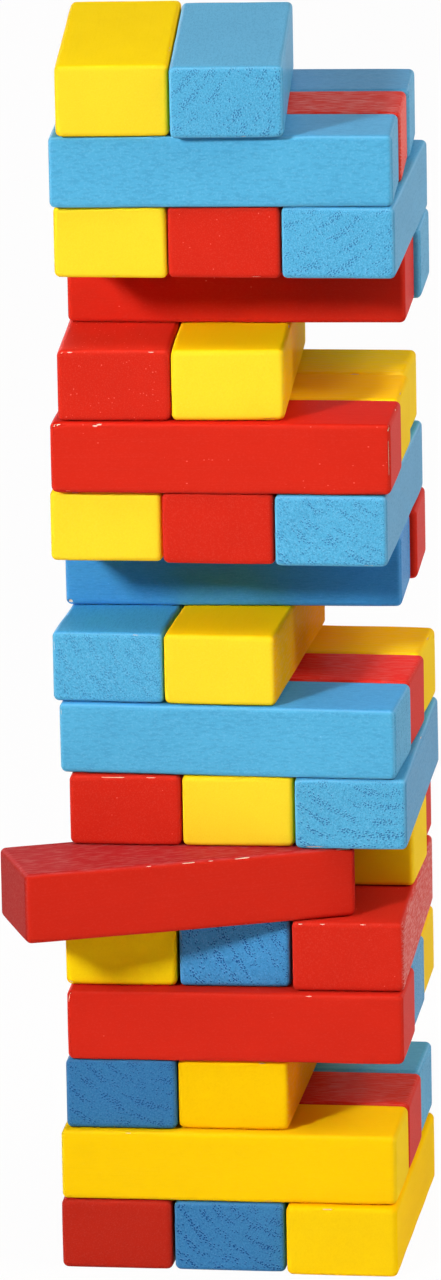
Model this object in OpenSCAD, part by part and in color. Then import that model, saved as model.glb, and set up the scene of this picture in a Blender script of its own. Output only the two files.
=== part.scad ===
// Tumbling tower game: 45 painted wooden blocks, stacked and caught in the middle of play.
// The frame is in millimetres, with +Z up, +X to the right and -Y towards the player. Its origin
// is on the table, under the middle of the lowest layer, and that layer stands square to the axes.

/* [Block] */
// Length of a block
block_l = 75; // [70:1:80]
// Height from the top of one layer to the top of the next
layer_h = 16; // [13:0.5:20]
// Radius of a block's sanded edges
edge_r = 1; // [0.5:0.1:2]

/* [Fit] */
// How much narrower a block is than a third of its length
side_gap = 0.2; // [0.1:0.1:0.5]
// Clearance between two layers
rest_gap = 0.1; // [0.05:0.05:0.3]

/* [Swivelled block] */
// Turn of the front block of the sixth layer, anticlockwise seen from above
swivel_turn = 22; // [18:1:23]
// How far its middle has come out of the tower to the left
swivel_left = 11; // [8:0.5:15]
// How far its middle has come out of its lane to the front
swivel_front = 15; // [14.5:0.5:18]

/* [Hidden] */
lane_w = block_l / 3;
block_w = lane_w - side_gap;
block_h = layer_h - rest_gap;
swivel_layer = 6;

// One row for each layer, from the table up. An odd layer's blocks lie front to back, and its three
// lanes are left, middle and right. An even layer's lie left to right: front, middle and back.
// turn: degrees anticlockwise, seen from above. shift: [right, back] of the layer's middle.
// spread: extra gap between its lanes. slide: each block's push to the back or to the right.
// paint: each block's colour, or "" for a lane from which the block has been taken.
LAYERS = [
    // turn, shift,        spread, slide,             paint
    [0,      [0, 0],       0.3,    [0, 0, -2],        ["red", "blue", "yellow"]],
    [0,      [0, 0.5],     0.4,    [0, 0, -0.5],      ["yellow", "red", "blue"]],
    [0,      [1, 2.5],     0,      [-0.5, 0.5, 0],    ["blue", "yellow", ""]],
    [0.5,    [1, 2],       0.4,    [0.5, 0, -0.5],    ["red", "blue", "yellow"]],
    [1.5,    [0.5, 6],     0.4,    [0.5, 0.5, -2.5],  ["yellow", "blue", "red"]],
    [-0.5,   [0, 9.5],     0,      [0, 1, -1],        ["red", "yellow", "red"]],
    [1,      [2, 7],       0.1,    [0.5, 0.5, -1],    ["red", "yellow", "blue"]],
    [-1.5,   [1, 7.5],     0.3,    [0.5, 0, -1],      ["blue", "red", "yellow"]],
    [-1.5,   [0, 8.5],     0,      [0, -0.5, 0],      ["blue", "yellow", ""]],
    [2,      [-0.5, 9],    0.4,    [0, -1, 0.5],      ["", "blue", "red"]],
    [0.5,    [-1, 8],      0,      [1.5, 0, -1],      ["yellow", "red", "blue"]],
    [1,      [-1, 7.5],    0.4,    [0.5, 0, -1],      ["red", "yellow", "yellow"]],
    [3.5,    [-0.5, 9.5],  0,      [0, 0, 0],         ["red", "yellow", ""]],
    [2,      [0.5, 11],    0.1,    [0, -0.5, 1],      ["", "red", "blue"]],
    [1,      [1, 8.5],     0,      [0, 0.5, 0.5],     ["yellow", "red", "blue"]],
    [3.5,    [-0.5, 8],    0.3,    [-0.5, 0, 0.5],    ["blue", "red", "blue"]],
    [5.5,    [-0.5, 7],    0,      [0.5, -2.5, 0],    ["yellow", "blue", ""]]
];

function is_deep(layer) = layer % 2 == 1;
function two_digits(n) = str(n < 10 ? "0" : "", n);
function lane_name(layer, lane) =
    is_deep(layer) ? ["left", "middle", "right"][lane] : ["front", "middle", "back"][lane];
function block_name(layer, lane) =
    str("layer", two_digits(layer), "_", lane_name(layer, lane), "_", LAYERS[layer - 1][4][lane]);
function is_swivelled(layer, lane) = layer == swivel_layer && lane == 0;

// Every block that is in the tower, as [layer, lane].
BLOCKS = [
    for (layer = [1:len(LAYERS)])
        for (lane = [0:2])
            if (LAYERS[layer - 1][4][lane] != "") [layer, lane]
];

function paint(name) =
    name == "red" ? [0.86, 0.17, 0.12]
    : name == "yellow" ? [0.97, 0.86, 0.15]
    : [0.32, 0.66, 0.84];

// Rectangle with round corners, around the origin.
module rounded_rectangle(size) {
    inner = [size[0] - 2 * edge_r, size[1] - 2 * edge_r];
    square([size[0], inner[1]], center = true);
    square([inner[0], size[1]], center = true);
    for (x = [-0.5, 0.5], y = [-0.5, 0.5])
        translate([x * inner[0], y * inner[1]])
            circle(r = edge_r, $fn = 32);
}

// One block along X, with its underside's middle on the origin. The three outlines that it shows
// from above, from the side and from the end are carried through each other, which rounds all
// twelve of its edges.
module wooden_block() {
    lift = block_h / 2;
    intersection() {
        linear_extrude(block_h)
            rounded_rectangle([block_l, block_w]);
        translate([0, block_w / 2, lift])
            rotate([90, 0, 0])
                linear_extrude(block_w)
                    rounded_rectangle([block_l, block_h]);
        translate([-block_l / 2, 0, lift])
            rotate([90, 0, 90])
                linear_extrude(block_l)
                    rounded_rectangle([block_w, block_h]);
    }
}

// Puts a block into its lane of its layer.
module in_lane(layer, lane) {
    row = LAYERS[layer - 1];
    across = (lane - 1) * (lane_w + row[2]);
    along = row[3][lane];
    translate([row[1][0], row[1][1], (layer - 1) * layer_h])
        rotate([0, 0, row[0]])
            translate(is_deep(layer) ? [across, along, 0] : [along, across, 0])
                rotate([0, 0, is_deep(layer) ? 90 : 0])
                    children();
}

// Puts the swivelled block between its layer's neighbours, half out of the tower.
module half_out() {
    shift = LAYERS[swivel_layer - 1][1];
    translate([shift[0] - swivel_left, shift[1] - lane_w - swivel_front, (swivel_layer - 1) * layer_h])
        rotate([0, 0, swivel_turn])
            children();
}

module block(layer, lane) {
    color(paint(LAYERS[layer - 1][4][lane]))
        if (is_swivelled(layer, lane))
            half_out() wooden_block();
        else
            in_lane(layer, lane) wooden_block();
}

for (b = BLOCKS)
    block(b[0], b[1]);
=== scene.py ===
# %% [markdown]
# # A tumbling tower of painted wooden blocks
# The real object is 45 loose blocks of wood in three colours. They are stacked crosswise, three to
# a layer, and a game has already pulled some out and laid them on top. This lesson dresses the CAD
# model of that tower: it keeps every block's place and size, and gives each one sanded edges,
# grain and a coat of paint.

# %% Open the tower
import math

import bpy
import numpy as np
from mathutils import Matrix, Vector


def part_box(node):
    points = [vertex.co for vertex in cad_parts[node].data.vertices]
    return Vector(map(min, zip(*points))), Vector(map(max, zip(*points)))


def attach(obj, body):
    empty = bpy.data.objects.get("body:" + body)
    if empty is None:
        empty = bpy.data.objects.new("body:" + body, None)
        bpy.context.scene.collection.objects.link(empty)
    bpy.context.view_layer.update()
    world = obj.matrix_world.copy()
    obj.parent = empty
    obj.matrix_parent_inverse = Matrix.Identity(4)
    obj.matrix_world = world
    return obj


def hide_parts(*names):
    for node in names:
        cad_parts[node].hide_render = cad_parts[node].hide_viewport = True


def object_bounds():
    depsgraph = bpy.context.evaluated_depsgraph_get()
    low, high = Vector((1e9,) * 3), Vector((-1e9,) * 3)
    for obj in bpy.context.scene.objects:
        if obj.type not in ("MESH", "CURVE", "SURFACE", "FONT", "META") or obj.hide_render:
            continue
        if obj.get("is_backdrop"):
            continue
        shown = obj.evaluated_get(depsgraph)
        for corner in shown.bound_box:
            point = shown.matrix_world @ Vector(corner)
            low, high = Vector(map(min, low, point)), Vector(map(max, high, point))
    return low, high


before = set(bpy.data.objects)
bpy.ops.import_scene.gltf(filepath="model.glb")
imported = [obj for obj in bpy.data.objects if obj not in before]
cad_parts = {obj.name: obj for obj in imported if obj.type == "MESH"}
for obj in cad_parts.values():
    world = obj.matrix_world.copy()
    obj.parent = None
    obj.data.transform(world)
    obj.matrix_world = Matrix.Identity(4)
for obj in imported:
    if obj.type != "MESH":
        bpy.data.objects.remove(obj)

MM = 0.001
cad_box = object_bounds()


def print_box(title, box):
    """Prints a box's lowest and highest corners, in metres."""
    low, high = ([round(v, 4) for v in corner] for corner in box)
    print(title, "from", low, "to", high)


print_box("tower", cad_box)

# %% [markdown]
# ## The camera
# The photograph is a tall, narrow one, taken with a long lens from a good two metres away and from
# a little above. A long lens keeps the layers almost parallel. The camera's place came from a
# fit to the edges of the blocks; its three turns are written here as yaw, pitch and roll, because
# they are easier to read than a matrix. The frame is 1280 pixels high, which is the long side.

# %% Place the camera
FRAME_HIGH = 1280                           # pixels along the frame's long side
FOCAL_PIXELS = 10410                        # the focal length in the same pixels
SENSOR = 36                                 # the film's long side, in mm
SEES_AS_FAR_AS = 50                         # metres, so that the ground behind the tower is in view
CAMERA_AT = (0.2996, -2.2259, 0.7091)
YAW, PITCH, ROLL = (math.radians(a) for a in (-7.783, -14.326, 1.091))


def camera_turn(yaw, pitch, roll):
    """Rotation matrix of a camera that looks along +Y, turned to the right by yaw, up by pitch, and
    then about its own line of sight by roll."""
    flat = math.cos(pitch)
    ahead = np.array([math.sin(yaw) * flat, math.cos(yaw) * flat, math.sin(pitch)])
    level = np.array([math.cos(yaw), -math.sin(yaw), 0.0])
    down = np.cross(ahead, level)
    right = math.cos(roll) * level + math.sin(roll) * down
    lower = -math.sin(roll) * level + math.cos(roll) * down
    return np.column_stack([right, -lower, -ahead])


def placed(turn, at):
    """Matrix that turns an object and then moves it to a point."""
    matrix = np.eye(4)
    matrix[:3, :3] = turn
    matrix[:3, 3] = at
    return Matrix(matrix.tolist())


lens = bpy.data.cameras.new("photo_camera")
lens.sensor_width = SENSOR
lens.lens = FOCAL_PIXELS * lens.sensor_width / FRAME_HIGH
lens.clip_end = SEES_AS_FAR_AS
camera = bpy.data.objects.new("photo_camera", lens)
camera.matrix_world = placed(camera_turn(YAW, PITCH, ROLL), CAMERA_AT)
bpy.context.scene.collection.objects.link(camera)
bpy.context.scene.camera = camera
print("lens", round(lens.lens, 1), "mm")

# %% [markdown]
# ## Where each block lies
# Every block is a node of the CAD model, named after its layer, its place and its colour. The CAD
# box gives a block's middle. Its heading is the direction in which its corners spread most, seen
# from above, so nothing about the stack is typed in twice.

# %% Read the blocks' places
HALF = np.array([75.0, 24.8, 15.9]) / 2     # half of a block's length, width and height, in mm


def block_place(node):
    """Middle (mm) and heading (radians) of a CAD block. The heading is half the angle of the vector
    (variance along X minus variance along Y, twice their covariance)."""
    low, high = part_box(node)
    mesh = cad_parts[node].data
    corners = np.empty(len(mesh.vertices) * 3, np.float32)
    mesh.vertices.foreach_get("co", corners)
    plan = np.unique(corners.reshape(-1, 3).round(6), axis=0)[:, :2]
    spread = np.cov(plan.T)
    heading = 0.5 * math.atan2(2 * spread[0, 1], spread[0, 0] - spread[1, 1])
    if heading < -math.pi / 4:
        heading += math.pi
    return (np.array(low) + np.array(high)) / 2 / MM, heading


BLOCKS = sorted(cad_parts)
PLACES = {name: block_place(name) for name in BLOCKS}
for name in BLOCKS[:3] + ["layer06_front_red"]:
    print(name, PLACES[name][0].round(2), round(math.degrees(PLACES[name][1]), 2))

# %% [markdown]
# ## One sanded block
# A block is sawn square, and then tumbled or sanded, so its edges are round, but not evenly: the
# radius wanders along an edge and is largest at the corners. A Bevel modifier would give every
# edge the same radius. Here the block is a surface worked out directly: six grids of points on a
# plain box are pulled onto a rounded box whose radius may change from point to point.

# %% The grid over the block
ROUND_ZONE = 2.0                            # the edges' rounding stays within this, in mm
EDGE_RINGS = np.array([0, 0.2, 0.4, 0.62, 0.86, 1.12, 1.4, 1.7])
FLAT_STEP = 1.0                             # mm between points on the flats


def stations(half):
    """Positions from -half to half: close rings within the round zone, then even steps."""
    flat = half - ROUND_ZONE
    count = int(round(2 * flat / FLAT_STEP)) + 1
    return np.concatenate([-half + EDGE_RINGS, np.linspace(-flat, flat, count),
                           half - EDGE_RINGS[::-1]])


def box_grid():
    """Points on a plain box of the block's size, and the squares that join them. Each of the six
    sides is a grid of stations along its two directions; points that two sides share are merged."""
    points, squares, start = [], [], 0
    for normal in range(3):
        along, across = (normal + 1) % 3, (normal + 2) % 3
        for side in (1, -1):
            u, v = stations(HALF[along]), stations(HALF[across])
            grid = np.empty((len(u), len(v), 3))
            grid[..., normal] = side * HALF[normal]
            grid[..., along] = u[:, None]
            grid[..., across] = v[None, :]
            index = start + np.arange(len(u) * len(v)).reshape(len(u), len(v))
            corners = [index[:-1, :-1], index[1:, :-1], index[1:, 1:], index[:-1, 1:]]
            squares.append(np.stack(corners[::side], -1).reshape(-1, 4))
            points.append(grid.reshape(-1, 3))
            start += index.size
    points = np.concatenate(points)
    _, first, merged = np.unique(points.round(5), axis=0, return_index=True, return_inverse=True)
    return points[first], merged.ravel()[np.concatenate(squares)]


BOX_POINTS, BOX_SQUARES = box_grid()
print("each block:", len(BOX_POINTS), "points,", 2 * len(BOX_SQUARES), "triangles")

# %% [markdown]
# Each block gets its own wear from a seeded random source, so two runs give the same tower. The
# wander of an edge's radius is a sum of a few long waves through space, which is smooth everywhere
# and needs no texture.

# %% Long waves
WAVES = 5                                   # how many are added up


def waves(points, rng, longest):
    """Sum of sine waves through space, between about -1 and 1. Each has its own random direction,
    its own phase, and a length between half of longest and longest."""
    way = rng.normal(size=(WAVES, 3))
    way /= np.linalg.norm(way, axis=1, keepdims=True)
    length = longest * rng.uniform(0.5, 1, WAVES)
    phase = rng.uniform(0, 2 * math.pi, WAVES)
    height = np.sin(points @ (way / length[:, None] * 2 * math.pi).T + phase)
    return height.sum(1) / math.sqrt(2 * WAVES)


trial_wave = waves(BOX_POINTS, np.random.default_rng(1), longest=30)
print("a wave over a block runs from", trial_wave.min().round(2), "to", trial_wave.max().round(2))

# %% [markdown]
# A nick is a short stroke across or along an edge, in which the radius grows and the wood shows.
# Every block gets a few at random, since every real one has some. The nicks that the photograph
# shows are listed one by one, further below.

# %% Nicks in the edges
STRAY_NICKS = (1, 5)                        # at least 1 and fewer than 5 on a block
EDGE_KINDS = (0.6, 0.3, 0.1)                # shares on the long, the short and the upright edges
NEAR_THE_END = 0.95                         # how far along its edge a nick may be
NICK_LENGTHS = (0.2, 1.6)                   # mm
NICK_WIDTHS = (0.2, 0.4)                    # mm to either side
NOT_ZERO = 1e-9                             # keeps a stroke without length from dividing by zero


def random_nicks(rng):
    """Nicks on the block's edges. Each is a stroke from one point to another, and half its width:
    (x, y, z, x, y, z, width) in mm."""
    nicks = []
    for _ in range(rng.integers(*STRAY_NICKS)):
        spot = HALF * rng.choice([-1, 1], 3)
        free = rng.choice(3, p=EDGE_KINDS)
        spot[free] *= rng.uniform(-NEAR_THE_END, NEAR_THE_END)
        end = spot.copy()
        end[free] += rng.uniform(*NICK_LENGTHS)
        nicks.append([*spot, *end, rng.uniform(*NICK_WIDTHS)])
    return nicks


def closeness(points, nicks):
    """1 on the nearest stroke, falling to 0 at its width. The distance is taken to the stroke's
    nearest point, which is its start plus t times its length, with t held between 0 and 1."""
    nicks = np.array(nicks, float)
    start, way = nicks[:, :3], nicks[:, 3:6] - nicks[:, :3]
    from_start = points[:, None] - start
    t = np.clip((from_start * way).sum(2) / ((way ** 2).sum(1) + NOT_ZERO), 0, 1)
    away = np.linalg.norm(from_start - t[..., None] * way, axis=2) / nicks[:, 6]
    return np.clip(1 - away.min(1), 0, 1)


trial_nicks = random_nicks(np.random.default_rng(2))
print("a trial block has", len(trial_nicks), "nicks")

# %% [markdown]
# The rounding itself moves each point of the plain box straight away from a smaller box inside it.
# Where the edge is to be rounder, the inner box is smaller. The flats are sunk a little as well,
# in long waves, because a sander never leaves wood quite level, and light shows it.

# %% The rounded surface
EDGE_RADIUS = 1.15                          # mm, before it wanders
LEAST_RADIUS = 0.8                          # mm
RADIUS_WANDER = 0.18                        # mm up or down
RADIUS_WAVE = 30                            # mm, the longest wave of that wander
CORNER_EXTRA = 0.25                         # mm more at a corner
CORNER_REACH = 6                            # mm from a corner, where that extra has gone
NICK_EXTRA = 0.8                            # mm more in a nick
NICK_BLUNTNESS = 1.6                        # above 1, a nick has a flat bottom
SINK, DEEPEST_SINK, SINK_WAVE = 0.02, 0.05, 40          # mm


def sanded_block(rng, nicks):
    """Points of one block in its own frame, their normals, their distance from the nearest edge,
    and how deep in a nick they are. A point q of the plain box moves to c + r * (q - c) / |q - c|,
    where r is the local radius and c is q held within the box shrunk by r."""
    q = BOX_POINTS
    inset = np.sort(HALF - np.abs(q), axis=1)
    edge, corner = inset[:, 1], inset[:, 2]
    nicked = closeness(q, nicks)
    radius = EDGE_RADIUS + RADIUS_WANDER * waves(q, rng, RADIUS_WAVE)
    radius = radius + CORNER_EXTRA * np.clip(1 - corner / CORNER_REACH, 0, 1) ** 2
    radius += NICK_EXTRA * np.clip(nicked * NICK_BLUNTNESS, 0, 1)
    radius = np.clip(radius, LEAST_RADIUS, ROUND_ZONE)[:, None]
    core = np.clip(q, -(HALF - radius), HALF - radius)
    out = q - core
    normal = out / np.linalg.norm(out, axis=1, keepdims=True)
    sink = np.clip(SINK * (1 + waves(q, rng, SINK_WAVE)), 0, DEEPEST_SINK)
    return core + normal * (radius - sink[:, None]), normal, edge, nicked


trial, _, _, _ = sanded_block(np.random.default_rng(1), trial_nicks)
print("a block measures", (trial.max(0) - trial.min(0)).round(2), "mm")

# %% [markdown]
# ## The timber inside the paint
# The paint is thin, so the wood still shows through it as relief. Blocks are cut from planks, and
# the year rings run through them as parts of large circles around the middle of the tree, its
# pith, which lies outside the block. Three numbers follow the timber: the distance from the pith,
# the way round it, and the way along the grain. They are kept on the mesh, so that one material
# can draw rings and pores on all sides of a block at once, and they meet at its edges.

# %% Coordinates in the timber
PITH = {  # blocks whose end shows its rings: the pith right of and above the middle, and a shift
    "layer01_middle_blue": (22, 26, 0),
    "layer03_left_blue": (20, 34, 1.7),
    "layer05_middle_blue": (30, 16, 0.6),
    "layer07_right_blue": (7, 21, 0.5),
    "layer11_right_blue": (24, 30, 1.2),
    "layer15_right_blue": (-20, 32, 1),
    "layer17_middle_blue": (-30, 24, 0),
}
PITH_AWAY = (25, 60)                        # mm, for the blocks that aren't named
RING_SHIFT = (0, 3)                         # mm
GRAIN_WOBBLE = 0.02                         # how much the rings swell and shrink along the grain
WOBBLE_LENGTH = 19                          # mm for one radian of that
WOBBLE_START = (0, 6)                       # radians
PLANK_LENGTH = 4000                         # mm of timber, from anywhere in which a block is cut


def timber_coordinates(points, name, rng):
    """Distance from the pith, arc length round it, and distance along the grain, in mm. The pith is
    a line along the block at (across, up); the arc is the angle times the pith's distance."""
    angle = rng.uniform(0, 2 * math.pi)
    distance = rng.uniform(*PITH_AWAY)
    shift = rng.uniform(*RING_SHIFT)
    across, up = distance * math.cos(angle), distance * math.sin(angle)
    if name in PITH:
        right, up, shift = PITH[name]
        across, distance = -right, math.hypot(right, up)
    y, z = points[:, 1] - across, points[:, 2] - up
    wobble = 1 + GRAIN_WOBBLE * np.sin(points[:, 0] / WOBBLE_LENGTH + rng.uniform(*WOBBLE_START))
    ring = np.hypot(y, z) * wobble
    turn = np.arctan2(z, y) - math.atan2(-up, -across)
    turn = (turn + math.pi) % (2 * math.pi) - math.pi
    timber = np.column_stack([ring - distance - shift, turn * distance, points[:, 0]])
    return timber + [0, 0, rng.uniform(0, PLANK_LENGTH)]


trial_timber = timber_coordinates(trial, "layer01_middle_blue", np.random.default_rng(3))
print("a block spans", np.ptp(trial_timber[:, 0]).round(1), "mm of the tree's radius")

# %% [markdown]
# ## Differences from block to block
# Paint is mixed in batches, and a second mix is never quite the first. Most blocks differ by a
# hundredth or two at random. Nine, nearly all low in the tower, are clearly deeper: that is
# painted shade, for the dimmer light low in the tower, under the swivelled block and in the recess
# of layer 10. The difference is kept on each block as three factors, for red, green and blue.
#
# Single sides differ too. Most of that is painted light and shade: shaded tops and sides are made
# darker, with yellow turned more orange and blue more violet, a few sides are made lighter, and
# pale streaks on some stand in for sheen along with real wear from hands. So factors can also
# belong to one side of a block.

# %% Batches of paint, with painted shade
# Painted shade: these blocks lie where the light is dimmer, low in the tower and in a recess.
SHADE_DEEPENED = {
    "layer01_middle_blue": (0.50, 0.52, 0.68),
    "layer03_left_blue": (0.44, 0.46, 0.61),
    "layer05_middle_blue": (0.70, 0.76, 0.96),
    "layer10_middle_blue": (0.60, 0.70, 0.93),
    "layer01_left_red": (0.76, 0.95, 1.0),
    "layer01_right_yellow": (0.98, 0.90, 0.2),
    "layer02_front_yellow": (0.90, 0.92, 0.8),
    "layer03_middle_yellow": (1.0, 0.84, 0.1),
    "layer05_left_yellow": (1.0, 1.0, 0.2),
}
BATCH_RANGE = (0.98, 1.02)                  # for the blocks that aren't named

# Directions in the block's own frame. A block of an even layer lies from left to right, so its
# ends face left and right. One of an odd layer lies from front to back, and its side faces right.
UP, LEFT_END, RIGHT_END, RIGHT_SIDE = (0, 0, 1), (-1, 0, 0), (1, 0, 0), (0, -1, 0)
RUBBED_AND_PAINTED_LIGHT = {  # each side: where it faces, factors of painted light and shade, share of streaks and sheen
    "layer01_right_yellow": [(RIGHT_SIDE, (1.0, 1.18, 1.0), 0.0)],
    "layer02_front_yellow": [(RIGHT_END, (1.14, 1.12, 0.6), 0.0)],
    "layer02_middle_red": [(UP, (1.15, 1.3, 1.2), 0.14)],
    "layer03_middle_yellow": [(RIGHT_SIDE, (0.9, 0.75, 1.0), 0.08)],
    "layer04_middle_blue": [(UP, (1.0, 0.75, 0.9), 0.0), (RIGHT_END, (1.0, 0.85, 0.9), 0.0)],
    "layer05_right_red": [(RIGHT_SIDE, (1.0, 1.9, 2.3), 0.4)],
    "layer06_front_red": [(UP, (0.71, 0.9, 1.9), 0.08), (LEFT_END, (0.61, 0.65, 0.9), 0.04)],
    "layer07_right_blue": [(RIGHT_SIDE, (0.9, 0.82, 0.88), 0.02)],
    "layer08_front_blue": [(UP, (0.8, 0.9, 1.06), 0.0)],
    "layer08_middle_red": [(UP, (1.35, 1.0, 1.3), 0.1)],
    "layer08_back_yellow": [(UP, (1.0, 1.05, 1.0), 0.09)],
    "layer09_left_blue": [(UP, (0.7, 0.96, 1.15), 0.0)],
    "layer09_middle_yellow": [(RIGHT_SIDE, (0.97, 0.78, 1.0), 0.1), (UP, (1.0, 1.06, 1.0), 0.0)],
    "layer11_right_blue": [(RIGHT_SIDE, (1.1, 0.88, 0.9), 0.0)],
    "layer12_front_red": [(UP, (1.05, 0.7, 0.6), 0.0)],
    "layer12_middle_yellow": [(UP, (1.0, 0.97, 1.0), 0.05)],
    "layer12_back_yellow": [(UP, (1.0, 1.08, 1.0), 0.1)],
    "layer13_left_red": [(UP, (1.25, 1.4, 1.4), 0.0)],
    "layer13_middle_yellow": [(RIGHT_SIDE, (1.0, 1.06, 1.0), 0.1), (UP, (1.0, 1.1, 1.0), 0.0)],
    "layer15_right_blue": [(RIGHT_SIDE, (1.05, 0.93, 0.94), 0.0)],
    "layer16_front_blue": [(UP, (0.97, 0.95, 1.0), 0.0)],
    "layer16_middle_red": [(UP, (1.2, 1.7, 2.3), 0.25), (RIGHT_END, (1.3, 2.4, 2.4), 0.42)],
    "layer16_back_blue": [(UP, (0.95, 0.86, 0.93), 0.02)],
    "layer17_left_yellow": [(UP, (0.93, 1.12, 0.8), 0.0)],
}


def tone_and_painted_light_of(name, normal, rng):
    """Factors for the paint at each point, and how much pale streaking it has there. The factors
    are the block's own where it is named above, else near 1, times those of the side that the point
    is on;
    beyond the random spread they are painted shade and painted light. A point is wholly on a side
    where its normal faces the same way, less so on the rounded edge, and not at all where the two
    are 60 degrees apart."""
    factors = np.tile(SHADE_DEEPENED.get(name, np.full(3, rng.uniform(*BATCH_RANGE))), (len(normal), 1))
    streaks_and_sheen = np.zeros(len(normal))
    # Each side's factors are painted shade and painted light, with a little real wear.
    for direction, tone_and_light, streaks in RUBBED_AND_PAINTED_LIGHT.get(name, []):
        facing = np.clip(normal @ np.array(direction) * 2 - 1, 0, 1)
        factors = factors * (1 + facing[:, None] * (np.array(tone_and_light) - 1))
        streaks_and_sheen = streaks_and_sheen + facing * streaks
    return factors, streaks_and_sheen


print(len(SHADE_DEEPENED), "deeper blocks,", sum(len(sides) for sides in RUBBED_AND_PAINTED_LIGHT.values()), "rubbed sides")

# %% [markdown]
# Wood differs as well. Some blue blocks have darker pores in their ends than others. Some red
# blocks are speckled, where the coat dried over dust or missed the bottom of a pore. And the nicks
# that the photograph shows have their own places: mostly small chips in the upper front edges of
# red blocks, along which another block has been pushed.

# %% Pores, speckles and chips of single blocks
POROUS = {  # how dark a block's pores are
    "layer01_middle_blue": 1.0,
    "layer03_left_blue": 0.75,
    "layer05_middle_blue": 1.0,
    "layer07_right_blue": 0.85,
    "layer11_right_blue": 0.7,
    "layer15_right_blue": 0.7,
    "layer17_middle_blue": 0.7,
}
OFTEN_POROUS = 0.5
SPECKLED = {  # how many of its possible specks a block has
    "layer05_right_red": 0.1,
    "layer06_front_red": 0.0,
    "layer12_front_red": 0.35,
    "layer13_left_red": 1.0,
    "layer15_middle_red": 0.4,
}
OFTEN_SPECKLED = 0.08
NICKS = {  # strokes in the block's own frame, as in random_nicks
    "layer04_front_red": [(-37.5, -12.4, 6, -37.2, -12.4, 8, 0.45)],
    "layer05_left_yellow": [(-37.5, 12.4, -7.9, -37.5, 11.6, -7.9, 0.83)],
    "layer05_right_red": [
        (-37.5, 10.8, 7.9, -37.5, 10.2, 7.9, 0.24),
        (-37.5, 5.8, 7.9, -37.5, 5.4, 7.9, 0.24),
        (-37.5, -3.2, 7.9, -37.5, -3.9, 7.9, 0.24),
        (-37.5, -7, 7.9, -37.5, -7.3, 7.9, 0.24),
    ],
    "layer06_front_red": [
        (-1.5, -12.4, 7.9, 1.2, -12.3, 7.9, 0.22),
        (3.8, -12.4, 7.9, 5.1, -12.4, 7.9, 0.22),
        (10, -12.4, 7.9, 13.3, -12.3, 7.9, 0.28),
        (32.8, -12.4, 7.9, 36.5, -12.4, 7.9, 0.22),
        (-9.5, -12.4, 7.9, -9.1, -12.4, 7.9, 0.24),
    ],
    "layer07_left_red": [
        (-37.5, 5.2, 7.9, -37.5, 0.5, 7.9, 0.22),
        (-37.5, -5, 7.9, -37.5, -6.6, 7.9, 0.22),
    ],
    "layer07_right_blue": [(-37.5, 9.3, -7.9, -37.5, 6.8, -7.9, 0.6)],
    "layer10_middle_blue": [(-37.5, -12.4, -7.9, -36.6, -12.4, -7.2, 0.9)],
    "layer12_front_red": [
        (-36.9, -12.4, 7.3, -36.6, -12.4, 7.9, 0.38),
        (-35.8, -12.4, 7.5, -35.6, -12.4, 7.9, 0.3),
        (-28.1, -12.4, 7.1, -26.3, -12.2, 8, 0.41),
        (37.4, -12.4, 6.8, 37.4, -11, 7.9, 0.38),
        (37.4, -12.4, 4.5, 37.5, -12.4, -3, 0.22),
    ],
    "layer13_left_red": [
        (-37.5, 11.8, 7.9, -37.5, 11.3, 7.9, 0.38),
        (-37.5, 9.5, 7.9, -37.5, 9.1, 7.9, 0.3),
        (-37.5, 5.2, 7.9, -37.5, 4.8, 7.9, 0.3),
        (-37.5, -8, 7.9, -37.5, -8.4, 7.9, 0.3),
    ],
}
print(sum(len(strokes) for strokes in NICKS.values()), "nicks placed by hand")

# %% [markdown]
# ## Build the blocks
# Each block is one closed mesh, turned to its heading and moved to its middle, and it stands for
# the CAD block of the same name: it rides on that block's body, and so it slides with it. What the
# material needs to know about a place on the block is kept on the mesh as named values.

# %% Make a block
FIRST_SEED = 1000
END_GAIN, END_OFFSET = 1.6, 0.6             # turns the normal's tilt into 1 on an end, 0 beside it
EDGE_BAND = 1.3                             # mm from an edge within which it is rubbed


def colour_of(name):
    return name.split("_")[-1]


def grid_mesh(name, points):
    """Smooth mesh of points (m), joined by the squares of the box grid."""
    mesh = bpy.data.meshes.new(name)
    mesh.vertices.add(len(points))
    mesh.vertices.foreach_set("co", points.astype(np.float32).ravel())
    mesh.loops.add(BOX_SQUARES.size)
    mesh.loops.foreach_set("vertex_index", BOX_SQUARES.astype(np.int32).ravel())
    mesh.polygons.add(len(BOX_SQUARES))
    starts = np.arange(0, BOX_SQUARES.size, 4, dtype=np.int32)
    mesh.polygons.foreach_set("loop_start", starts)
    mesh.update(calc_edges=True)
    mesh.validate()
    mesh.shade_smooth()
    return mesh


def keep(mesh, name, values):
    """Stores one number, or three, for every point of the mesh under a name."""
    vector = np.ndim(values) == 2
    kept = mesh.attributes.new(name, "FLOAT_VECTOR" if vector else "FLOAT", "POINT")
    kept.data.foreach_set("vector" if vector else "value", np.asarray(values, np.float32).ravel())


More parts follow.
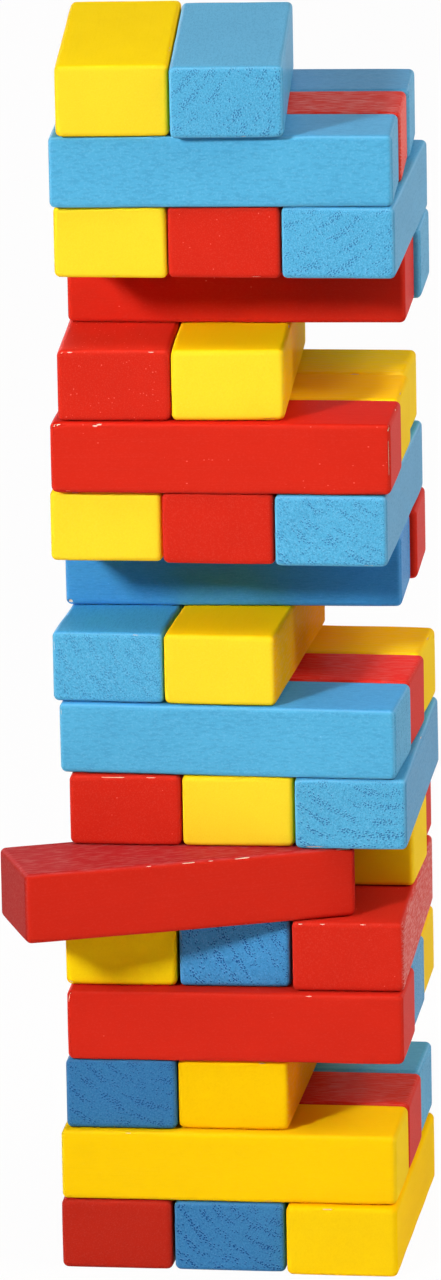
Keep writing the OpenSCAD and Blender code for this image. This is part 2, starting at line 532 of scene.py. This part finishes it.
def make_block(name, number):
    """Mesh object of one block, in its place in the tower, with its timber and wear kept on it. A
    point p of the block moves to its middle plus p turned about the vertical by its heading."""
    rng = np.random.default_rng(FIRST_SEED + number)
    nicks = NICKS.get(name, []) + random_nicks(rng)
    points, normal, edge, nicked = sanded_block(rng, nicks)
    middle, heading = PLACES[name]
    turn = np.array([[math.cos(heading), -math.sin(heading), 0],
                     [math.sin(heading), math.cos(heading), 0], [0, 0, 1]])
    mesh = grid_mesh("painted_" + name, (points @ turn.T + middle) * MM)
    keep(mesh, "timber", timber_coordinates(points, name, rng))
    keep(mesh, "end", np.clip(np.abs(normal[:, 0]) * END_GAIN - END_OFFSET, 0, 1))
    keep(mesh, "edge", np.clip(1 - edge / EDGE_BAND, 0, 1))
    keep(mesh, "nick", nicked)
    keep(mesh, "speckled", np.full(len(points), SPECKLED.get(name, OFTEN_SPECKLED)))
    keep(mesh, "porous", np.full(len(points), POROUS.get(name, OFTEN_POROUS)))
    factors, streaks_and_sheen = tone_and_painted_light_of(name, normal, rng)
    keep(mesh, "batch_and_painted_light", factors)
    keep(mesh, "streaks_and_sheen", streaks_and_sheen)
    block = bpy.data.objects.new("painted_" + name, mesh)
    bpy.context.scene.collection.objects.link(block)
    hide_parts(name)
    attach(block, name)
    return block


blocks = {name: make_block(name, number) for number, name in enumerate(BLOCKS)}
print(len(blocks), "blocks,", sum(len(b.data.polygons) for b in blocks.values()) * 2, "triangles")

# %% [markdown]
# ## Paint on wood
# The blocks wear a satin paint, dipped or sprayed on in one thin coat. On the ends the open pores
# of the wood drink the paint and stay dark, in rows along the year rings; on the long sides the
# same pores are cut lengthwise and hardly show. Edges are a little lighter, from wear, and on blue
# also from a painted highlight, and chips show the pale wood. A picture of wood wrapped around the
# block would break at its edges. Here all of it comes from the timber coordinates, so one recipe
# serves the three colours and all the sides, and only its strengths change. Nodes are many and
# small, so they get short helpers first.

# %% Helpers for material nodes
def add(tree, kind, settings=None, **inputs):
    """Adds a node. A setting is a property of the node. An input is a number or another node's
    output; it goes by its name, with _ for a space, or by i and its number."""
    node = tree.nodes.new("ShaderNode" + kind)
    for key, value in (settings or {}).items():
        setattr(node, key, value)
    for key, value in inputs.items():
        numbered = key[0] == "i" and key[1:].isdigit()
        socket = node.inputs[int(key[1:]) if numbered else key.replace("_", " ")]
        if isinstance(value, bpy.types.NodeSocket):
            tree.links.new(value, socket)
        else:
            socket.default_value = value
    return node


def sums(tree, operation, a, b=0.0, c=0.0, clamp=False):
    """Output of one Math node."""
    settings = {"operation": operation, "use_clamp": clamp}
    return add(tree, "Math", settings, i0=a, i1=b, i2=c).outputs[0]


def times(tree, a, b):
    """a times b."""
    return sums(tree, "MULTIPLY", a, b)


def times_plus(tree, a, b, c):
    """a times b, plus c."""
    return sums(tree, "MULTIPLY_ADD", a, b, c)


def minus(tree, a, b, clamp=False):
    """a minus b, held between 0 and 1 if clamp says so."""
    return sums(tree, "SUBTRACT", a, b, clamp=clamp)


def ramp(tree, value, low, high):
    """0 below low, 1 above high, and smooth between; low may be the larger of the two."""
    flip = low > high
    node = add(tree, "MapRange", {"interpolation_type": "SMOOTHSTEP"}, Value=value,
               From_Min=min(low, high), From_Max=max(low, high),
               To_Min=float(flip), To_Max=float(not flip))
    return node.outputs[0]


def mix(tree, share, under, over, way="MIX"):
    """Colour under, covered by colour over as far as share says."""
    settings = {"data_type": "RGBA", "blend_type": way, "clamp_factor": True}
    return add(tree, "Mix", settings, i0=share, i6=under, i7=over).outputs[2]


def kept_value(tree, name, output="Fac"):
    """What a mesh keeps under a name: one number, or with another output a colour or a place."""
    return add(tree, "Attribute", {"attribute_name": name}).outputs[output]


# %% [markdown]
# The patterns are noise on the timber coordinates. Dividing those by a size in mm, a different one
# along each of the three, makes the noise long or short along the grain.

# %% Patterns in the timber
PATTERNS = {  # size in mm away from the pith, round it and along the grain; octaves of detail
    "drift": ((5, 12, 90), 2.0),            # how the year rings wander
    "patches": ((2.4, 6, 60), 2.0),         # parts of a ring that have many pores
    "breaks": ((0.6, 0.8, 7), 1.0),         # gaps in a row of pores
    "fibre": ((0.35, 0.45, 1.8), 3.0),      # short fibres under the coat
    "stipple": ((0.3, 0.3, 0.5), 1.0),      # fine dots in the coat
    "cloud": ((11, 11, 24), 2.0),           # places where the coat is thicker
    "streaks": ((0.4, 0.4, 3.5), 2.0),      # pale streaks of wear, and painted sheen
}


def stretched(tree, place, x, y, z):
    """The timber coordinates, divided by a size in mm along each of the three."""
    return add(tree, "VectorMath", {"operation": "DIVIDE"}, i0=place, i1=(x, y, z)).outputs[0]


def patterns(tree, timber):
    """One noise node's output for each of the patterns, between 0 and 1."""
    made = {}
    for name, (size, detail) in PATTERNS.items():
        place = stretched(tree, timber, *size)
        made[name] = add(tree, "TexNoise", Vector=place, Scale=1.0, Detail=detail).outputs[0]
    return made


print("patterns:", list(PATTERNS))

# %% [markdown]
# Pores are tubes along the grain, open where a saw has cut across them. A Voronoi pattern of two
# dimensions gives each pore a cell of its own, the same all along the grain. Each cell draws a
# lottery number, and its pore is open where that is below the share of open pores. The share is
# largest early in a year's growth, which gives the rows, and patches and breaks keep the rows from
# being regular.

# %% Pores in rows
RING_RATE = 1.9                             # radians of the year wave to the mm: 3.3 mm a year
RING_WANDER = 5.0                           # radians
PORE_CELL = (0.46, 0.52, 1)                 # mm; the length along the grain isn't used
PORE_EDGE = (0.48, 0.2)                     # from a cell's middle: where a pore ends, and is full
FULLY_OPEN = 0.35                           # below the share by this much, a pore is at its darkest
FEW_OPEN, SOME_OPEN, ROW_OPEN = 0.15, 0.5, 0.4          # shares everywhere, in a year, in its row
SOME_YEAR, SOME_PATCHES = (-1.4, 0.5), (0.36, 0.58)     # where some pores begin, and are complete
ROW_YEAR, ROW_PATCHES = (0.0, 0.9), (0.44, 0.56)        # the same for the rows
NOISE_MIDDLE = 0.5
HIGHLIGHT_RIM_SHIFT = (0.15, -0.14, 0.1)              # mm from a pore to its painted highlight, a lighter crescent
HIGHLIGHT_RIM_SHARE = 0.55


def share_open(tree, timber, noise):
    """Share of the pores that are open at a place. The year wave is the cosine of the distance from
    the pith, which wanders. The share is FEW_OPEN, plus SOME_OPEN where the wave and the patches
    are above a low level, plus ROW_OPEN where they are above a high one, plus breaks."""
    ring = add(tree, "SeparateXYZ", i0=timber).outputs[0]
    wander = minus(tree, noise["drift"], NOISE_MIDDLE)
    angle = times_plus(tree, wander, RING_WANDER, times(tree, ring, RING_RATE))
    year = sums(tree, "COSINE", angle)
    some = times(tree, ramp(tree, year, *SOME_YEAR), ramp(tree, noise["patches"], *SOME_PATCHES))
    row = times(tree, ramp(tree, year, *ROW_YEAR), ramp(tree, noise["patches"], *ROW_PATCHES))
    share = times_plus(tree, row, ROW_OPEN, times_plus(tree, some, SOME_OPEN, FEW_OPEN))
    return sums(tree, "ADD", share, minus(tree, noise["breaks"], NOISE_MIDDLE))


def pores(tree, place, share):
    """1 in an open pore, and 0 between pores. A pore is darker the further its cell's lottery
    number is below the share."""
    cells = add(tree, "TexVoronoi", {"voronoi_dimensions": "2D"},
                Vector=stretched(tree, place, *PORE_CELL), Scale=1.0)
    lottery = add(tree, "SeparateXYZ", i0=cells.outputs["Color"]).outputs[0]
    is_open = ramp(tree, minus(tree, share, lottery), 0.0, FULLY_OPEN)
    return times(tree, ramp(tree, cells.outputs["Distance"], *PORE_EDGE), is_open)


def pits_and_highlit_rims(tree, timber, end, noise, paint):
    """How far a place is in a pore, and how far in the painted highlight beside one, a lighter
    crescent on one side of it. Both are weaker on the long sides, and differ from block to block."""
    share = share_open(tree, timber, noise)
    shown = times_plus(tree, end, paint["end_pits"] - paint["side_pits"], paint["side_pits"])
    shown = times(tree, shown, kept_value(tree, "porous"))
    pit = times(tree, pores(tree, timber, share), shown)
    beside = add(tree, "VectorMath", {"operation": "ADD"}, i0=timber, i1=HIGHLIGHT_RIM_SHIFT).outputs[0]
    rim_highlight = times(tree, pores(tree, beside, share), shown)
    return pit, times(tree, minus(tree, rim_highlight, pit, clamp=True), HIGHLIGHT_RIM_SHARE)


print("a year ring is", round(2 * math.pi / RING_RATE, 1), "mm wide")

# %% [markdown]
# The coat itself isn't even. It is a little deeper in soft clouds and between fibres, and lighter
# in fine dots where it is thin. On the ends the grain is twice as strong. Over that come painted
# highlights, a lighter crescent on one side of each pore, and the pores themselves.

# %% The coat over the grain
CLOUD_SHARE = 0.06                          # how much deeper a cloud is
CLOUDY = (0.3, 0.7)                         # where the noise begins to count, and counts in full
FIBROUS, DOTTED = (0.45, 0.65), (0.52, 0.68)            # the same for fibres and for dots


def coat_over_grain(tree, end, pit, rim_highlight, noise, paint):
    """The coat's colour before any wear."""
    deep, light = paint["deep"], paint["light"]
    grain = times_plus(tree, end, paint["grain"], paint["grain"])
    cloud = times(tree, ramp(tree, noise["cloud"], *CLOUDY), CLOUD_SHARE)
    fibre = times(tree, ramp(tree, noise["fibre"], *FIBROUS), grain)
    stipple = times(tree, ramp(tree, noise["stipple"], *DOTTED), grain)
    colour = mix(tree, end, paint["on_sides"], paint["on_ends"])
    for share, tone in ((cloud, deep), (fibre, deep), (stipple, light), (rim_highlight, light), (pit, deep)):
        colour = mix(tree, share, colour, tone)
    return colour


print("steps of the coat: cloud, fibre, stipple, rim, pit")

# %% [markdown]
# Wear and painted light come last. Edges turn lighter, more where a fibre stands up: wear, and
# on blue also a painted highlight. Specks are pale pinholes in the coat. Then the block's own paint
# factors colour all that, with their painted shade and light, chalky streaks of wear and painted
# sheen cover some sides, and a nick breaks through to the bare wood, with a ragged outline that the
# fibres give it.

# %% Wear, painted light, specks and chips
BARE_WOOD = (0.80, 0.66, 0.50, 1)
CHALKY_SHEEN = (0.80, 0.55, 0.50, 1)              # pale streaks of wear, and painted sheen
SPECK_CELL = (0.6, 0.6, 0.9)                # mm
SPECK_EDGE = (0.3, 0.14)                    # from a cell's middle: where a speck ends, and is full
SPECK_SHARE = 0.5                           # how pale a speck is
SPECK_PATCHES = (0.3, 0.65)                 # where specks begin, and are as many as anywhere
RAGGED = 0.5                                # how much the fibres fray an edge or a nick
WORN_AND_HIGHLIT, STREAKED_SHEEN, CHIPPED = (0.75, 1.25), (0.47, 0.62), (0.52, 0.66)  # from where, and in full


def specks(tree, timber, noise, paint):
    """1 in a speck, 0 elsewhere. A cell has one where its lottery number is below the chance, which
    is the block's speckles times the paint's, and less outside the patches."""
    cells = add(tree, "TexVoronoi", Vector=stretched(tree, timber, *SPECK_CELL), Scale=1.0)
    lottery = add(tree, "SeparateXYZ", i0=cells.outputs["Color"]).outputs[1]
    patchy = ramp(tree, noise["patches"], *SPECK_PATCHES)
    chance = times(tree, times(tree, kept_value(tree, "speckled"), patchy), paint["specks"])
    spot = ramp(tree, cells.outputs["Distance"], *SPECK_EDGE)
    return times(tree, spot, sums(tree, "LESS_THAN", lottery, chance))


def wear_and_painted_light(tree, colour, timber, noise, paint):
    """The coat's colour after wear and painted light, and how far a place is chipped."""
    frayed = times_plus(tree, noise["fibre"], RAGGED, kept_value(tree, "edge"))
    # Lighter edges: wear, and on blue also a painted highlight.
    edge_wear_and_highlight = times(tree, ramp(tree, frayed, *WORN_AND_HIGHLIT), paint["rub_and_highlight"])
    colour = mix(tree, edge_wear_and_highlight, colour, paint["light"])
    speck = times(tree, specks(tree, timber, noise, paint), SPECK_SHARE)
    colour = mix(tree, speck, colour, paint["light"])
    # Painted shade and light: the block's own factors and those of its sides.
    colour = mix(tree, 1.0, colour, kept_value(tree, "batch_and_painted_light", "Color"), "MULTIPLY")
    # Pale streaks: wear of the coat, and painted sheen.
    chalk_and_sheen = times(tree, ramp(tree, noise["streaks"], *STREAKED_SHEEN), kept_value(tree, "streaks_and_sheen"))
    colour = mix(tree, chalk_and_sheen, colour, CHALKY_SHEEN)
    chip = times_plus(tree, noise["fibre"], RAGGED, kept_value(tree, "nick"))
    chip = ramp(tree, chip, *CHIPPED)
    return mix(tree, chip, colour, BARE_WOOD), chip


print("bare wood", BARE_WOOD[:3], "and chalky paint", CHALKY_SHEEN[:3])

# %% [markdown]
# The same patterns roughen the surface. Pores and chips are dull and lie about a tenth of a
# millimetre lower, and fibres stand up by a few hundredths. That is far too fine for the mesh, so
# it is a bump.

# %% The painted wood
SATIN, FIBRE_DULL, CHIP_DULL, PIT_DULL = 0.30, 0.16, 0.35, 0.3      # parts of the roughness
FIBRE_HIGH, PIT_HIGH, CHIP_HIGH = 0.35, -1.0, -1.5                  # parts of the relief
RELIEF, RELIEF_SHARE = 0.00012, 0.6         # metres for a height of 1, and how much of it shows


def painted_wood(name, paint):
    """Satin paint over wood. In a paint, on_sides and on_ends are the coat's colour on the long
    sides and on the ends, deep its colour in the pores, and light its colour where it is thin and
    in the painted highlights. end_pits and side_pits say how strongly the pores show, grain how
    strongly the fibres do, specks how many pale pinholes a speckled block has, rub how light the
    edges are (wear, and on blue also a painted highlight), and gloss how much the coat reflects.
    Each block's mesh adds its own porous, speckled, streaky (wear and painted sheen) and batch
    (with painted light and shade)."""
    material = bpy.data.materials.new(name)
    material.use_nodes = True
    tree = material.node_tree
    timber = kept_value(tree, "timber", "Vector")
    end = kept_value(tree, "end")
    noise = patterns(tree, timber)
    pit, rim_highlight = pits_and_highlit_rims(tree, timber, end, noise, paint)
    colour = coat_over_grain(tree, end, pit, rim_highlight, noise, paint)
    colour, chip = wear_and_painted_light(tree, colour, timber, noise, paint)

    dull = times_plus(tree, noise["fibre"], FIBRE_DULL, SATIN)
    dull = sums(tree, "ADD", dull, times(tree, chip, CHIP_DULL))
    dull = times_plus(tree, pit, PIT_DULL, dull)
    height = times_plus(tree, pit, PIT_HIGH, times(tree, noise["fibre"], FIBRE_HIGH))
    height = times_plus(tree, chip, CHIP_HIGH, height)
    relief = add(tree, "Bump", Height=height, Strength=RELIEF_SHARE, Distance=RELIEF)

    coat = tree.nodes["Principled BSDF"]
    tree.links.new(colour, coat.inputs["Base Color"])
    tree.links.new(dull, coat.inputs["Roughness"])
    tree.links.new(relief.outputs[0], coat.inputs["Normal"])
    coat.inputs["Specular IOR Level"].default_value = paint["gloss"]
    return material


# %% [markdown]
# Only blue has ends on which the pores are plain to see. Red and yellow hide them, so theirs are
# weak. Yellow is lemon on the ends and warmer on the long sides, and that is partly painted light:
# the ends carry a faint painted sheen, and the long sides a painted orange shade.

# %% The three paints
PAINTS = {
    "red": {
        "on_sides": (0.585, 0.022, 0.010, 1), "on_ends": (0.585, 0.022, 0.010, 1),
        "deep": (0.31, 0.010, 0.006, 1), "light": (0.88, 0.22, 0.16, 1),
        "end_pits": 0.10, "side_pits": 0.05, "grain": 0.03, "specks": 0.12, "rub_and_highlight": 0.05,
        "gloss": 0.005,
    },
    "yellow": {
        # Yellow: the whiter ends hold a faint painted sheen, the orange long sides a painted shade.
        "on_sides": (1.0, 0.63, 0.003, 1), "on_ends": (0.88, 0.655, 0.024, 1),
        "deep": (0.66, 0.36, 0.004, 1), "light": (0.97, 0.82, 0.16, 1),
        "end_pits": 0.08, "side_pits": 0.06, "grain": 0.04, "specks": 0.0, "rub_and_highlight": 0.05,
        "gloss": 0.0006,
    },
    "blue": {
        "on_sides": (0.085, 0.400, 0.635, 1), "on_ends": (0.085, 0.400, 0.635, 1),
        "deep": (0.008, 0.10, 0.28, 1), "light": (0.24, 0.60, 0.84, 1),
        "end_pits": 1.0, "side_pits": 0.06, "grain": 0.15, "specks": 0.05, "rub_and_highlight": 0.35,
        "gloss": 0.012,
    },
}
materials = {key: painted_wood(key + "_paint", paint) for key, paint in PAINTS.items()}
for name, block in blocks.items():
    block.data.materials.append(materials[colour_of(name)])
print("paints:", [m.name for m in materials.values()])

# %% [markdown]
# ## The table and the light
# The tower stands on a plain white ground that runs on behind it without a horizon. A large flat
# surface does that. Seen by the camera it is nearly white by itself, and it keeps the tower's
# shadow. Its light on the tower is that of a matt white table.

# %% The white table
REACH = 30                                  # metres from the tower to the ground's edge
TABLE_MATT = (0.8, 0.8, 0.8, 1)
TABLE_SEEN = 0.965                          # share of the plain white where the table is seen


def seen_directly(tree):
    """1 for rays from the camera, also by way of a reflection or through glass, else 0."""
    path = add(tree, "LightPath").outputs
    beyond = sums(tree, "MAXIMUM", path["Is Glossy Ray"], path["Is Transmission Ray"])
    return sums(tree, "MAXIMUM", path["Is Camera Ray"], beyond)


def white_table():
    """A square at the height of the table, with a material that the camera sees as white."""
    mesh = bpy.data.meshes.new("white_table")
    corners = [(-REACH, -REACH, 0), (REACH, -REACH, 0), (REACH, REACH, 0), (-REACH, REACH, 0)]
    mesh.from_pydata(corners, [], [(0, 1, 2, 3)])
    table = bpy.data.objects.new("white_table", mesh)
    bpy.context.scene.collection.objects.link(table)
    material = bpy.data.materials.new("white_ground")
    material.use_nodes = True
    tree = material.node_tree
    tree.nodes.remove(tree.nodes["Principled BSDF"])
    matt = add(tree, "BsdfDiffuse", Color=TABLE_MATT).outputs[0]
    bright = add(tree, "Emission", Color=(1, 1, 1, 1), Strength=1.0).outputs[0]
    seen = times(tree, seen_directly(tree), TABLE_SEEN)
    both = add(tree, "MixShader", i0=seen, i1=matt, i2=bright).outputs[0]
    tree.links.new(both, tree.nodes["Material Output"].inputs["Surface"])
    mesh.materials.append(material)
    table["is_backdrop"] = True
    return table


white_table()
print("white table, camera sees", TABLE_SEEN, "of it as plain white")

# %% [markdown]
# Most of the light in the photograph comes from one small lamp to the left, in front and a little
# above. It gives the sharp wedge of shadow on the layer below, beside each block that borders on
# an empty lane. Large soft boxes around the tower fill the shadows, and light the right side and
# the back. The small lamp and the front box are white and the one far to the right is warm. The
# others are a little rosy, because in the photograph yellow turns to orange and blue to violet in
# the shade.

# %% Lamps
WHITE = (1, 1, 1)
WARM = (1.0, 0.87, 0.80)                    # light that has come off the studio's walls
ROSY = (1.0, 0.80, 0.86)                    # light that has come off other blocks and the studio
MIDDLE = (0, 0, 0.15)                       # about the middle of the tower
KEY_AIM = (0.07, 0, 0.165)                  # right of the middle, so that the left isn't brighter


def soft_box(name, azimuth, elevation, watts, away=1.8, size=1.0, aim=MIDDLE, spread=180,
             tint=ROSY):
    """A round lamp, size metres wide, at an angle from the front (positive to the right) and above
    the table, turned towards the point it is aimed at and so many metres away from it. A spread
    below 180 degrees is the grid on its front."""
    a, e = math.radians(azimuth), math.radians(elevation)
    back = np.array([math.sin(a) * math.cos(e), -math.cos(a) * math.cos(e), math.sin(e)])
    side = np.cross([0, 0, 1], back)
    side /= np.linalg.norm(side)
    lamp = bpy.data.lights.new(name, "AREA")
    lamp.shape = "DISK"
    lamp.size = size
    lamp.energy = watts
    lamp.color = tint
    lamp.spread = math.radians(spread)
    box = bpy.data.objects.new(name, lamp)
    turn = np.column_stack([side, np.cross(back, side), back])
    box.matrix_world = placed(turn, np.array(aim) + back * away)
    bpy.context.scene.collection.objects.link(box)
    return box


lamps = [
    soft_box("key_left", -35, 24, 1.13, away=1.4, size=0.22, aim=KEY_AIM, spread=44, tint=WHITE),
    soft_box("soft_box_above", 0, 80, 1.7),
    soft_box("soft_box_left", -75, 35, 5.5),
    soft_box("soft_box_high_right", 70, 58, 6.2),
    soft_box("soft_box_far_right", 85, 41, 14, tint=WARM),
    soft_box("soft_box_front", 40, 10, 2.0, tint=WHITE),
    soft_box("soft_box_behind_left", -148, 10, 9),
    soft_box("soft_box_behind_right", 148, 10, 7),
]
print(len(lamps), "lamps,", round(sum(lamp.data.energy for lamp in lamps), 1), "watts")

# %% [markdown]
# The white walls are the world: white where the camera or a reflection meets them, and weak as a
# light, so that the shadows stay.

# %% White walls
WALLS_AS_LIGHT = 0.03
WALLS_SEEN_MORE = 0.97                      # what is added to that where the walls are seen

world = bpy.data.worlds.new("white_walls")
world.use_nodes = True
tree = world.node_tree
strength = times_plus(tree, seen_directly(tree), WALLS_SEEN_MORE, WALLS_AS_LIGHT)
tree.links.new(strength, tree.nodes["Background"].inputs["Strength"])
tree.nodes["Background"].inputs["Color"].default_value = (1, 1, 1, 1)
bpy.context.scene.world = world
bpy.context.scene.view_settings.view_transform = "Standard"
print("walls light the tower at", WALLS_AS_LIGHT)

# %% Measure the dressed tower
dressed_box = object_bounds()
print_box("dressed tower", dressed_box)
